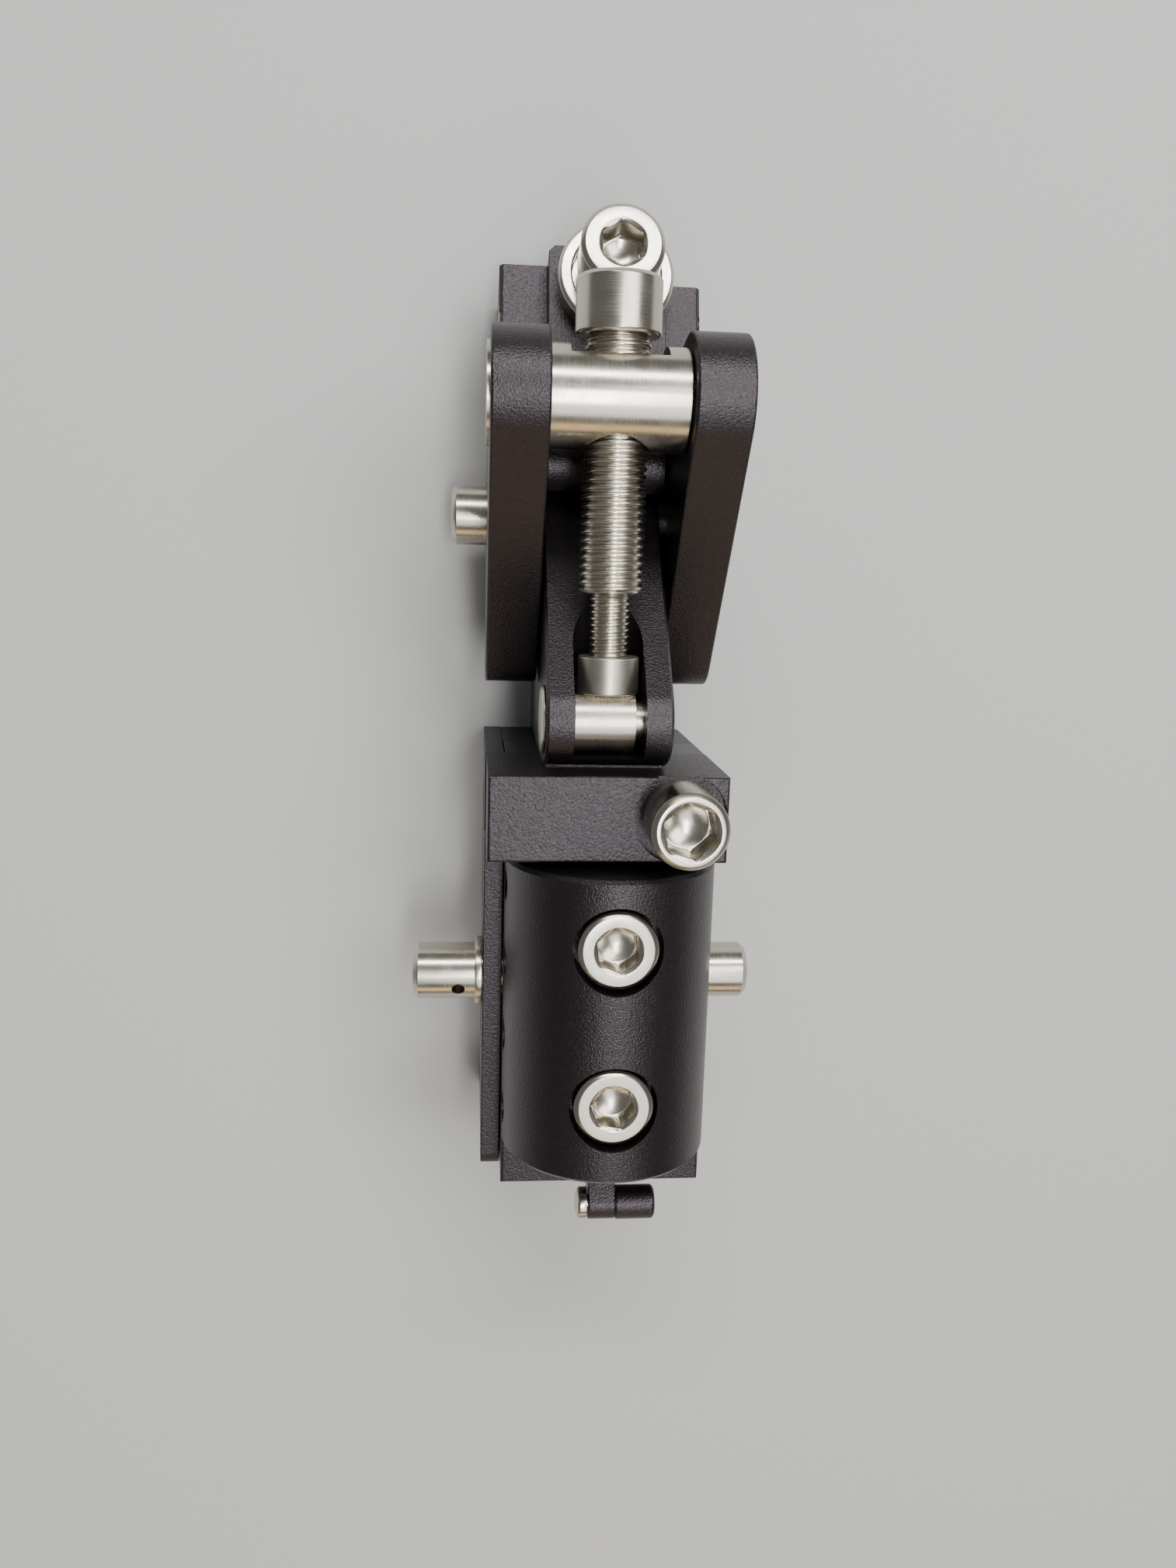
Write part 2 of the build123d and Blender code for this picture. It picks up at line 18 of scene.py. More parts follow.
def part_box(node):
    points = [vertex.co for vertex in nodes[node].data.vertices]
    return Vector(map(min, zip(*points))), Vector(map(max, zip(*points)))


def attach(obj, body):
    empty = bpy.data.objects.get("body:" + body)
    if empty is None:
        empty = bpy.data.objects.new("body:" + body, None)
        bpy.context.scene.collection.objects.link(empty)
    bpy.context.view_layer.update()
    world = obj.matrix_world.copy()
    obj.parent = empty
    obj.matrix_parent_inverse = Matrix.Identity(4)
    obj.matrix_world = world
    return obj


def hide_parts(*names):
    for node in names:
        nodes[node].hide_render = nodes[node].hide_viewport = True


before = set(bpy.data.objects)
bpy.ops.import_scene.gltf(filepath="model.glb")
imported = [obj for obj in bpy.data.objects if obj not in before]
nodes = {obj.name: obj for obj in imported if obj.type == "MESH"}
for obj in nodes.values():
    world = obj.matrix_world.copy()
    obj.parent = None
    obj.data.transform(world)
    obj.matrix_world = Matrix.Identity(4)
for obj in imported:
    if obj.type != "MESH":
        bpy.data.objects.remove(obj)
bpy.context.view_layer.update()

MM = 0.001

# %% [markdown]
# ## Axes that the round pieces turn about
#
# Almost everything bright on this clamp came off a lathe, so each such piece needs the line it
# was turned about. Those lines are read from the CAD nodes' boxes. The carriage rests at a slope,
# so its bolt and ring turn about a tilted line.

# %% Axis lines
SLOPE = math.radians(16.0)
ALONG_X = Vector((1, 0, 0))
ALONG_Y = Vector((0, 1, 0))
ALONG_Z = Vector((0, 0, 1))
ALONG_BOLT = Vector((0, math.sin(SLOPE), math.cos(SLOPE)))


def middle(node):
    """Middle of a CAD node's box: half the sum of its two corners."""
    low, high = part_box(node)
    return (low + high) / 2


trunnion_line = middle("upper_trunnion")
lower_line = middle("trunnion_cap")
screw_line = middle("adjusting_screw")
hinge_line = middle("hinge_pin")
cross_line = middle("cross_pin")
lug_line = middle("lug_pin")
ring_middle = middle("flange_ring")
print("screw axis at x", round(screw_line.x / MM, 2), "z", round(screw_line.z / MM, 2))

# %% [markdown]
# ## Colours and nodes
#
# A screen colour such as #1f1b1e is gamma-coded, while a shader works with linear light, so one
# function turns the one into the other. A second small function adds a node with its settings
# and its links. Every material below is made with these two.


# %% Colour and node helpers
def linear(code):
    """Linear RGBA of a hex colour: c / 12.92 when dark, else ((c + 0.055) / 1.055) ** 2.4."""
    c = np.array([int(code[i : i + 2], 16) for i in (1, 3, 5)]) / 255
    c = np.where(c <= 0.04045, c / 12.92, ((c + 0.055) / 1.055) ** 2.4)
    return (*c.tolist(), 1.0)


def add(tree, kind, links=None, **settings):
    """Add one node. links maps an input to a value, or to another node's output."""
    made = tree.nodes.new("ShaderNode" + kind)
    for key, value in settings.items():
        setattr(made, key, value)
    for key, value in (links or {}).items():
        if isinstance(value, bpy.types.NodeSocket):
            tree.links.new(value, made.inputs[key])
        else:
            made.inputs[key].default_value = value
    return made


def start_material(name, **shader):
    """A material with a Principled shader, its node tree and the object's own coordinates."""
    material = bpy.data.materials.new(name)
    material.use_nodes = True
    tree = material.node_tree
    tree.nodes.clear()
    bsdf = add(tree, "BsdfPrincipled", shader)
    add(tree, "OutputMaterial", {"Surface": bsdf.outputs["BSDF"]})
    place = add(tree, "TexCoord").outputs["Object"]
    return material, tree, bsdf, place


print("black is", [round(v, 4) for v in linear("#1f1b1e")])

# %% [markdown]
# ## Black anodised aluminium
#
# Anodising grows a clear, hard oxide of aluminium, which is then dyed black. The eye sees a dark
# coat with a soft satin gloss, not bare metal, so the shader is a dielectric with the oxide's
# index of about 1.65. The dye is never quite neutral: it leans to purple brown.
# The cheeks, the fork and the cover were fine-blasted before anodising and look silky. The cross
# block and the clamp frame were blasted with coarser beads, and glitter slightly.
#
# The bead marks are about 0.05 mm wide. That is finer than one sample of the picture, so they
# are drawn 0.24 to 0.34 mm wide. A few pale specks on the black are painted glints, a painted
# highlight that stands in for glitter: they are the middles of one Voronoi cell in forty.
# The oxide's reflection leans very slightly to purple.


# %% Anodised finishes
OXIDE_IOR = 1.65
CLOUDS_PER_M = 90.0
# Painted highlight: pale specks in rare Voronoi cells stand in for glints of light on the black.
GLINT_CELLS_PER_M = 260.0
GLINT_EDGE = (0.035, 0.02)
GLINT_CHANCE = 0.975
BEAD_DEPTH_MM = 0.08
SHEEN = "#f3e7ee"
PAINTED_GLINT = "#8f8a86"


def map_range(tree, value, before, after=(0.0, 1.0)):
    """after[0] + (value - before[0]) / (before[1] - before[0]) * (after[1] - after[0]), clamped."""
    made = add(tree, "MapRange", {"Value": value})
    made.inputs["From Min"].default_value, made.inputs["From Max"].default_value = before
    made.inputs["To Min"].default_value, made.inputs["To Max"].default_value = after
    return made.outputs["Result"]


def anodised(name, dark, light, grain_mm, roughness, bump):
    """Dyed oxide: a slow cloud between two blacks, bead marks as bump, and rare painted glints."""
    material, tree, bsdf, place = start_material(name, **{"Metallic": 0.0, "IOR": OXIDE_IOR})
    bsdf.inputs["Specular Tint"].default_value = linear(SHEEN)
    cloud = add(tree, "TexNoise", {"Vector": place, "Scale": CLOUDS_PER_M, "Detail": 3.0})
    dye = add(tree, "Mix", data_type="RGBA")
    tree.links.new(cloud.outputs["Fac"], dye.inputs["Factor"])
    dye.inputs["A"].default_value = linear(dark)
    dye.inputs["B"].default_value = linear(light)
    # Painted glints: a pale colour near the middle of one cell in forty, standing in for glitter.
    glint_cells = add(tree, "TexVoronoi", {"Vector": place, "Scale": GLINT_CELLS_PER_M})
    near = map_range(tree, glint_cells.outputs["Distance"], GLINT_EDGE)
    chance = add(tree, "SeparateColor", {"Color": glint_cells.outputs["Color"]})
    rare = add(tree, "Math", {0: chance.outputs["Red"], 1: GLINT_CHANCE}, operation="GREATER_THAN")
    speck = add(tree, "Math", {0: near, 1: rare.outputs[0]}, operation="MULTIPLY")
    colour = add(tree, "Mix", data_type="RGBA")
    tree.links.new(speck.outputs[0], colour.inputs["Factor"])
    tree.links.new(dye.outputs["Result"], colour.inputs["A"])
    colour.inputs["B"].default_value = linear(PAINTED_GLINT)
    tree.links.new(colour.outputs["Result"], bsdf.inputs["Base Color"])
    beads = add(tree, "TexNoise", {"Vector": place, "Scale": 1 / (grain_mm * MM), "Detail": 2.0})
    gloss = map_range(tree, beads.outputs["Fac"], (0.3, 0.7), (roughness - 0.05, roughness + 0.06))
    tree.links.new(gloss, bsdf.inputs["Roughness"])
    marks = {"Height": beads.outputs["Fac"], "Strength": bump, "Distance": BEAD_DEPTH_MM * MM}
    dents = add(tree, "Bump", marks)
    tree.links.new(dents.outputs["Normal"], bsdf.inputs["Normal"])
    return material


satin_black = anodised("satin_black_anodised_aluminium", "#0a0809", "#110d0f", 0.24, 0.34, 1.0)
blasted_black = anodised("bead_blasted_black_anodised_aluminium", "#0b090a", "#131012", 0.34, 0.4, 1.0)
print("anodised finishes:", satin_black.name, blasted_black.name)

# %% [markdown]
# ## Turned stainless steel
#
# The screws, pins and trunnions are stainless steel, turned on a lathe. The tool leaves rings
# about 0.1 mm apart: round the side of a pin, and round the middle of a face. Both come from one
# number, the distance along the axis plus the distance from it. A one-dimensional noise of that
# number gives rings that aren't all alike. Bare steel is a warm grey metal and keeps the default
# index; its roughness is about 0.2, a little more in the grooves.


# %% Turned steel
GROOVE_DEPTH_MM = 0.02
SMUDGES_PER_M = 350.0
GROOVE_SHADES = (0.94, 1.04)


def turned_steel(name, centre, axis, tint="#c9c3b6", ring_mm=0.12, roughness=0.21, bump=0.06):
    """Rings from noise of s, where s = dot(p - centre, axis) + length(cross(p - centre, axis))."""
    material, tree, bsdf, place = start_material(name, **{"Metallic": 1.0})
    from_axis = add(tree, "VectorMath", {0: place, 1: tuple(centre)}, operation="SUBTRACT")
    offset = from_axis.outputs["Vector"]
    along = add(tree, "VectorMath", {0: offset, 1: tuple(axis)}, operation="DOT_PRODUCT")
    across = add(tree, "VectorMath", {0: offset, 1: tuple(axis)}, operation="CROSS_PRODUCT")
    radius = add(tree, "VectorMath", {0: across.outputs["Vector"]}, operation="LENGTH")
    total = add(tree, "Math", {0: along.outputs["Value"], 1: radius.outputs["Value"]})
    ring_links = {"W": total.outputs[0], "Scale": 1 / (ring_mm * MM), "Detail": 3.0}
    rings = add(tree, "TexNoise", ring_links, noise_dimensions="1D")
    smudge = add(tree, "TexNoise", {"Vector": place, "Scale": SMUDGES_PER_M, "Detail": 4.0})
    shade = map_range(tree, rings.outputs["Fac"], (0.0, 1.0), GROOVE_SHADES)
    metal = add(tree, "Mix", data_type="RGBA", blend_type="MULTIPLY")
    metal.inputs["Factor"].default_value = 1.0
    metal.inputs["A"].default_value = linear(tint)
    tree.links.new(shade, metal.inputs["B"])
    tree.links.new(metal.outputs["Result"], bsdf.inputs["Base Color"])
    both = add(tree, "Math", {0: rings.outputs["Fac"], 1: smudge.outputs["Fac"]})
    gloss = map_range(tree, both.outputs[0], (0.6, 1.4), (roughness - 0.05, roughness + 0.1))
    tree.links.new(gloss, bsdf.inputs["Roughness"])
    marks = {"Height": rings.outputs["Fac"], "Strength": bump, "Distance": GROOVE_DEPTH_MM * MM}
    grooves = add(tree, "Bump", marks)
    tree.links.new(grooves.outputs["Normal"], bsdf.inputs["Normal"])
    return material


steel_upper = turned_steel("turned_stainless_upper_trunnion", trunnion_line, ALONG_X)
steel_lower = turned_steel("turned_stainless_lower_trunnion", lower_line, ALONG_X, roughness=0.28)
steel_cross = turned_steel("turned_stainless_cross_pin", cross_line, ALONG_X)
steel_hinge = turned_steel("turned_stainless_hinge_pin", hinge_line, ALONG_X)
steel_lug = turned_steel("turned_stainless_lug_pin", lug_line, ALONG_X)
steel_screw = turned_steel(
    "rolled_stainless_adjusting_screw", screw_line, ALONG_Y, roughness=0.24, bump=0.03
)
steel_collar = turned_steel("turned_stainless_thrust_collar", screw_line, ALONG_Y, roughness=0.36)
steel_ring = turned_steel("turned_stainless_flange", ring_middle, ALONG_BOLT, tint="#cfc9bc")
print("steel finishes made")

# %% [markdown]
# ## Black copies with soft edges
#
# A CAD edge is perfectly sharp and catches no light, but every real edge on this clamp was
# broken by hand and blasted, so it shows as a thin bright line. The CAD meshes stay as they are.
# A copy of each is merged, its flat faces are joined, and a Bevel modifier rounds its edges.
# Weighted normals keep the flat faces flat. On a known cylinder the exact normal is used: the
# offset from the axis, scaled to length one. Otherwise long facets beside a bore show as streaks.


# %% Softened copies
MERGE_MM = 0.002
JOIN_DEGREES = 0.6
EDGE_DEGREES = 28
ON_CYLINDER_MM = 0.02
FACES_OUT_DEGREES = 12


def smooth_by_angle(mesh, degrees):
    """Smooth shading, with edges sharper than the angle kept sharp."""
    mesh.shade_smooth()
    mesh.set_sharp_from_angle(angle=math.radians(degrees))


def weigh_normals(piece):
    """Large faces decide the shading, so flat faces stay flat right up to a rounded edge."""
    weighted = piece.modifiers.new("weighted_normals", "WEIGHTED_NORMAL")
    weighted.mode = "FACE_AREA"
    weighted.keep_sharp = True


def round_normals(piece, centre, axis, radius_mm):
    """Where a face lies on a cylinder, its corner normals point straight out from the axis."""
    graph = bpy.context.evaluated_depsgraph_get()
    mesh = bpy.data.meshes.new_from_object(piece.evaluated_get(graph), depsgraph=graph)
    piece.modifiers.clear()
    piece.data = mesh
    points = np.empty(len(mesh.vertices) * 3)
    mesh.vertices.foreach_get("co", points)
    corners = np.empty(len(mesh.loops), int)
    mesh.loops.foreach_get("vertex_index", corners)
    normals = np.array([n.vector for n in mesh.corner_normals])
    faces = np.array([p.normal for p in mesh.polygons])
    sizes = np.array([p.loop_total for p in mesh.polygons])
    from_centre = points.reshape(-1, 3)[corners] - np.array(centre)
    out = from_centre - (from_centre @ np.array(axis))[:, None] * np.array(axis)
    distance = np.linalg.norm(out, axis=1)
    out /= np.maximum(distance, 1e-9)[:, None]
    on_cylinder = np.abs(distance - radius_mm * MM) < ON_CYLINDER_MM * MM
    leaning = np.sum(np.repeat(faces, sizes, axis=0) * out, axis=1)
    chosen = on_cylinder & (leaning > math.cos(math.radians(FACES_OUT_DEGREES)))
    normals[chosen] = out[chosen]
    mesh.normals_split_custom_set(normals.tolist())
    print(f"{piece.name}: {int(chosen.sum())} of {len(chosen)} corners on the cylinder")


def softened(node, body, slot, material, width_mm, segments=3):
    """A merged copy of a CAD node with rounded edges, which stands for it."""
    mesh = nodes[node].data.copy()
    mesh.materials.clear()
    mesh.materials.append(material)
    work = bmesh.new()
    work.from_mesh(mesh)
    bmesh.ops.remove_doubles(work, verts=work.verts, dist=MERGE_MM * MM)
    flat = math.radians(JOIN_DEGREES)
    bmesh.ops.dissolve_limit(work, angle_limit=flat, verts=work.verts, edges=work.edges)
    work.to_mesh(mesh)
    work.free()
    smooth_by_angle(mesh, EDGE_DEGREES)
    piece = bpy.data.objects.new(node + "_finished", mesh)
    bpy.context.scene.collection.objects.link(piece)
    bevel = piece.modifiers.new("broken_edges", "BEVEL")
    bevel.width = width_mm * MM
    bevel.segments = segments
    bevel.limit_method = "ANGLE"
    bevel.angle_limit = math.radians(EDGE_DEGREES)
    weigh_normals(piece)
    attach(piece, body)
    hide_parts(node)
    print(f"{piece.name}: {len(mesh.polygons)} faces before its edges are rounded")
    return piece


SATIN = ("black_anodised", satin_black)
BLASTED = ("black_blasted", blasted_black)
STEEL = "stainless_turned"
BARREL_R = 13.6
SPLIT_HEIGHT = 32.2
black_pieces = [
    ("frame_body", "clamp_frame", BLASTED, 0.15),
    ("side_plate", "clamp_frame", BLASTED, 0.15),
    ("cross_block", "clamp_frame", BLASTED, 0.12),
    ("clamp_base", "clamp_frame", SATIN, 0.12),
    ("clamp_cover", "cover", SATIN, 0.15),
    ("clevis_link", "clamp_frame", SATIN, 0.15),
    ("end_lug", "clamp_frame", SATIN, 0.15),
    ("lug_knob", "end_knob", SATIN, 0.1),
    ("carriage_body", "carriage", SATIN, 0.18),
    ("left_rail_jaw", "carriage", SATIN, 0.18),
    ("right_rail_jaw", "carriage", SATIN, 0.18),
    ("left_cheek", "carriage", SATIN, 0.12),
    ("right_cheek", "carriage", SATIN, 0.12),
]
black = {
    node: softened(node, body, *finish, width_mm) for node, body, finish, width_mm in black_pieces
}
barrel_line = Vector((middle("clamp_cover").x, 0, SPLIT_HEIGHT * MM))
round_normals(black["clamp_cover"], barrel_line, ALONG_Y, BARREL_R)

# %% [markdown]
# ## Bright pieces that keep their CAD shape
#
# The two trunnions are pins with a hole across them for the screw, and the cross pin has a small
# hole for a wire. Where a bore cuts through a cylinder, the CAD outline is the right one, so
# these are softened copies too, in steel, each with its axis and its radius in mm.

# %% Trunnions and cross pin
for node, finish, width_mm, line, radius_mm in (
    ("upper_trunnion", steel_upper, 0.12, trunnion_line, 6.1),
    ("lower_trunnion", steel_lower, 0.1, lower_line, 3.85),
    ("cross_pin", steel_cross, 0.08, cross_line, 3.85),
):
    round_normals(softened(node, node, STEEL, finish, width_mm), line, ALONG_X, radius_mm)

# %% [markdown]
# ## A lathe in numpy
#
# Everything else that is bright is a solid of revolution, so it can be worked out as one grid:
# rows run along the piece, and columns run round it. A point is
# `centre + along * axis + radius * (cos t * side + sin t * up)`.
# A row is a circle where its radius is one number. It is a hexagon where the radius grows to
# `flat / cos(t)` towards each corner, and that makes the key socket. It is a thread where the
# radius depends on `along / pitch - t / turn`.

# %% Rows of a lathe
TURN = 2 * math.pi
COLUMNS = 96
THREAD_CREST = 0.28
THREAD_FLANK = 0.5
THREAD_FADE = 0.4
THREAD_DEPTH = 0.33
angles = np.arange(COLUMNS) * TURN / COLUMNS


def circle_rows(profile):
    """Rows (along, radius) in mm, one circle for each point of the profile."""
    points = np.array(profile, float)[:, None, :]
    return np.repeat(points, COLUMNS, axis=1)


def hexagon_rows(alongs, across_flats):
    """Hexagon rows: radius = half the width across flats / cos(angle from the flat's middle)."""
    sixth = TURN / 6
    from_flat = (angles + sixth / 2) % sixth - sixth / 2
    radius = across_flats / 2 / np.cos(from_flat)
    along = np.array(alongs, float)[:, None]
    return np.stack(np.broadcast_arrays(along, radius[None, :]), axis=2)


def thread_rows(start, end, radius, pitch, steps=20):
    """Rolled thread: its flanks ease into crest and root, and it fades out at both ends."""
    count = int(abs(end - start) / pitch * steps) + 1
    along = np.linspace(start, end, count)[:, None]
    phase = (along / pitch - angles[None, :] / TURN) % 1
    from_crest = np.abs(2 * phase - 1)
    flank = np.clip((from_crest - THREAD_CREST) / THREAD_FLANK, 0, 1)
    fall = 0.5 * flank + 0.5 * flank**2 * (3 - 2 * flank)
    from_start = np.clip(np.abs(along - start) / (THREAD_FADE * pitch), 0, 1)
    from_end = np.clip(np.abs(end - along) / (THREAD_FADE * pitch), 0, 1)
    inside = from_start * from_end
    depth = THREAD_DEPTH * pitch
    profile = radius - depth + (depth - depth * fall) * inside
    return np.stack(np.broadcast_arrays(along, profile), axis=2)


def rounded(rows, size):
    """Each inner row becomes four rows on the parabola (1-t)^2 a + 2t(1-t) corner + t^2 b."""
    corner = rows[1:-1]

    def cut(other):
        side = other - corner
        length = np.maximum(np.linalg.norm(side, axis=2, keepdims=True), 1e-9)
        return corner + side * np.minimum(size / length, 0.45)

    a = cut(rows[:-2])
    b = cut(rows[2:])
    t = np.linspace(0, 1, 4)[None, :, None, None]
    arcs = (1 - t) ** 2 * a[:, None] + 2 * t * (1 - t) * corner[:, None] + t**2 * b[:, None]
    return np.concatenate([rows[:1], arcs.reshape(-1, COLUMNS, 2), rows[-1:]])


print("one turn is", COLUMNS, "columns")


# %% From rows to a piece
POLE_MM = 0.0005
CREASE_DEGREES = 50


def surface(rows, centre, axis, side, closed=False):
    """Mesh of the grid centre + along * axis + radius * (cos t * side + sin t * up), in metres."""
    axis, side = np.array(axis, float), np.array(side, float)
    up = np.cross(axis, side)
    along, radius = rows[..., 0:1] * MM, rows[..., 1:2] * MM
    spoke = np.cos(angles)[None, :, None] * side + np.sin(angles)[None, :, None] * up
    points = np.array(centre) + along * axis + radius * spoke
    count = len(rows)
    grid = np.arange(count * COLUMNS).reshape(count, COLUMNS)
    if closed:
        grid = np.vstack([grid, grid[:1]])
    nextcol = np.roll(grid, -1, axis=1)
    quads = np.stack([grid[:-1], nextcol[:-1], nextcol[1:], grid[1:]], axis=2).reshape(-1, 4)
    mesh = bpy.data.meshes.new("turned")
    mesh.from_pydata(points.reshape(-1, 3).tolist(), [], quads.tolist())
    work = bmesh.new()
    work.from_mesh(mesh)
    bmesh.ops.remove_doubles(work, verts=work.verts, dist=POLE_MM * MM)
    bmesh.ops.recalc_face_normals(work, faces=work.faces)
    work.to_mesh(mesh)
    work.free()
    return mesh


def turned_piece(name, node, body, material, mesh):
    """Put a finished steel surface in the scene in place of its CAD node."""
    mesh.materials.append(material)
    smooth_by_angle(mesh, CREASE_DEGREES)
    piece = bpy.data.objects.new(name, mesh)
    bpy.context.scene.collection.objects.link(piece)
    weigh_normals(piece)
    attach(piece, body)
    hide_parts(node)
    print(f"{name}: {len(mesh.polygons)} faces")
    return piece


# %% [markdown]
# ## Socket head screws
#
# The two cover screws, the lock screw and the rail bolt are socket head screws. A real one has a
# chamfered head, a hexagon socket with a lead-in at its mouth, a cone at the bottom left by the
# drill, and a rolled thread. Walking from the bottom of the socket up, over the rim, down the
# side and along the shank gives one unbroken surface.


# %% Socket head screw
def socket_screw_rows(head_r, head_h, key, depth, shank_r, shank_l, pitch):
    """Rows from the cone of the socket over the head and down the thread; seat at along = 0."""
    corner_r = key / math.sqrt(3)
    mouth = head_h - 0.22
    socket = [
        circle_rows([(head_h - depth - 0.27 * key, 0.0), (head_h - depth, 0.47 * key)]),
        hexagon_rows([head_h - depth + 0.02, mouth], key),
        circle_rows([(head_h, corner_r + 0.18), (head_h, head_r - 0.55), (head_h - 0.45, head_r)]),
        circle_rows([(0.25, head_r), (0.0, head_r - 0.25), (0.0, shank_r), (-1.0, shank_r)]),
    ]
    head = rounded(np.concatenate(socket), 0.09)
    thread = thread_rows(-1.0, -shank_l + 0.6, shank_r, pitch, steps=8)
    tip = circle_rows([(-shank_l, shank_r - 0.9), (-shank_l, 0.0)])
    return np.concatenate([head, thread, tip])


def socket_screw(name, node, body, seat, axis, side, **sizes):
    """One socket head screw on its seat, with rings turned about its own axis."""
    mesh = surface(socket_screw_rows(**sizes), seat, axis, side)
    return turned_piece(name, node, body, turned_steel("turned_stainless_" + name, seat, axis), mesh)


def spun(degrees):
    """A sideways direction for a screw along Z, turned by an angle about it."""
    a = math.radians(degrees)
    return Vector((math.cos(a), math.sin(a), 0))


M6 = {"head_r": 5.0, "head_h": 6.0, "key": 5.0, "depth": 3.2}
M6 |= {"shank_r": 2.95, "shank_l": 22.2, "pitch": 1.0}
for which, turned_by in (("upper", 8.0), ("lower", 21.0)):
    node = "cover_bolt_" + which
    seat = middle(node)
    seat.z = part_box(node)[1].z - M6["head_h"] * MM
    socket_screw(f"cover_screw_{which}", node, node, seat, ALONG_Z, spun(turned_by), **M6)

LOCK = {**M6, "head_r": 4.7, "head_h": 8.0, "key": 6.0, "depth": 4.5, "shank_l": 23.5}
lock_seat = middle("lock_screw")
lock_seat.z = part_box("lock_screw")[1].z - LOCK["head_h"] * MM
socket_screw("lock_screw_turned", "lock_screw", "lock_screw", lock_seat, ALONG_Z, spun(12.0), **LOCK)

# %% [markdown]
# ## Rail bolt and its flange ring
#
# The rail bolt stands square on the sloping carriage. Its seat is found from the ring below it:
# the ring is round, so the middle of its box is the middle of the ring, and the bolt's seat is a
# known distance up the axis from there. The ring has a deep counterbore with a dark gap.

# %% Rail bolt and flange ring
RING_H = 3.6
BOLT_SEAT_HEIGHT = 19.1
RING_FOOT_HEIGHT = 14.3
SEAT_ABOVE_RING_MIDDLE = BOLT_SEAT_HEIGHT - RING_FOOT_HEIGHT - RING_H / 2
bolt_seat = ring_middle + ALONG_BOLT * SEAT_ABOVE_RING_MIDDLE * MM
BOLT = {**M6, "head_r": 5.25, "head_h": 6.3, "key": 5.0, "depth": 3.6, "shank_l": 15.1}
socket_screw("rail_bolt_turned", "rail_bolt", "rail_bolt", bolt_seat, ALONG_BOLT, ALONG_X, **BOLT)

half = RING_H / 2
ring_profile = [
    (-half, 3.35), (-half, 7.5), (half - 0.4, 7.5), (half, 7.1),
    (half, 5.9), (half - 0.2, 5.7), (-half + 1.8, 5.7), (-half + 1.8, 3.35), (-half, 3.35),
]
ring_rows = rounded(circle_rows(ring_profile), 0.08)[:-1]
ring_mesh = surface(ring_rows, ring_middle, ALONG_BOLT, ALONG_X, closed=True)
turned_piece("flange_ring_turned", "flange_ring", "carriage", steel_ring, ring_mesh)

# %% [markdown]
# ## The adjusting screw
#
# This screw sets the angle. From its head it has a short neck, a long M8 thread of 1 mm pitch
# that pulls the upper trunnion, an M5 thread of 0.8 mm pitch, and a plain journal that turns in
# the lower trunnion. The pull of the eye is in the threads, so they are real geometry: each
# groove follows the helix with twenty rows to a pitch.

# %% Adjusting screw
screw_low, screw_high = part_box("adjusting_screw")
HEAD_END = screw_high.y / MM
HEAD_LENGTH = 6.8
JOURNAL_END = screw_low.y / MM
COLLAR_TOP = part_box("thrust_collar")[1].y / MM
M5_LENGTH = 7.8
M8_END = COLLAR_TOP + M5_LENGTH
M8_R = 3.95
M5_R = 2.45
NECK_R = 3.5
NECK_LENGTH = 0.2
JOURNAL_R = 2.0
KEY = 5.0
KEY_DEPTH = 4.0
seat_y = HEAD_END - HEAD_LENGTH

head = rounded(
    np.concatenate([
        circle_rows([(HEAD_END - KEY_DEPTH - 0.27 * KEY, 0.0), (HEAD_END - KEY_DEPTH, 0.47 * KEY)]),
        hexagon_rows([HEAD_END - KEY_DEPTH + 0.02, HEAD_END - 0.22], KEY),
        circle_rows([(HEAD_END, KEY / math.sqrt(3) + 0.18), (HEAD_END, 4.55), (HEAD_END - 0.5, 5.1)]),
        circle_rows([(seat_y + 0.3, 5.1), (seat_y, 4.8), (seat_y, NECK_R), (seat_y - NECK_LENGTH, NECK_R)]),
    ]),
    0.09,
)
coarse = thread_rows(seat_y - NECK_LENGTH, M8_END, M8_R, 1.0)
fine = thread_rows(M8_END - 0.4, COLLAR_TOP, M5_R, 0.8)
journal = circle_rows([
    (COLLAR_TOP - 0.05, JOURNAL_R), (JOURNAL_END + 0.2, JOURNAL_R),
    (JOURNAL_END, JOURNAL_R - 0.2), (JOURNAL_END, 0.0),
])
screw_rows = np.concatenate([head, coarse, fine, journal])
screw_origin = Vector((screw_line.x, 0, screw_line.z))
screw_mesh = surface(screw_rows, screw_origin, ALONG_Y, Vector((0, 0, 1)))
turned_piece("adjusting_screw_rolled", "adjusting_screw", "adjusting_screw", steel_screw, screw_mesh)

# %% [markdown]
# ## Collars, caps, pins and washers
#
# The small round pieces share one recipe: a profile in mm, its corners rounded, turned about the
# axis of the piece. The collar above the lower trunnion and the washers are rings, so their
# profiles close on themselves. The caps and pins close at a pole on each end.


# %% Small turned pieces
def ring(name, node, body, material, line, inner, outer, axis=ALONG_X, side=ALONG_Y, corner=0.12):
    """A washer or collar: the closed profile of a tube, as long as its CAD node."""
    low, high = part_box(node)
    half_length = abs((high - low).dot(axis)) / MM / 2
    start, end = -half_length, half_length
    profile = [(start, inner), (start, outer), (end, outer), (end, inner), (start, inner)]
    rows = rounded(circle_rows(profile), corner)[:-1]
    return turned_piece(name, node, body, material, surface(rows, line, axis, side, closed=True))


ring("thrust_collar_turned", "thrust_collar", "adjusting_screw", steel_collar, middle("thrust_collar"),
     2.0, 3.75, axis=ALONG_Y, side=ALONG_X, corner=0.25)
ring("cross_pin_washer_turned", "cross_pin_washer", "clamp_frame", steel_cross,
     middle("cross_pin_washer"), 4.25, 4.7)
washer_middle = middle("lock_screw_washer")
steel_washer = turned_steel("turned_stainless_lock_washer", washer_middle, ALONG_Z)
ring("lock_washer_turned", "lock_screw_washer", "lock_washer", steel_washer, washer_middle,
     3.0, 4.65, axis=ALONG_Z)

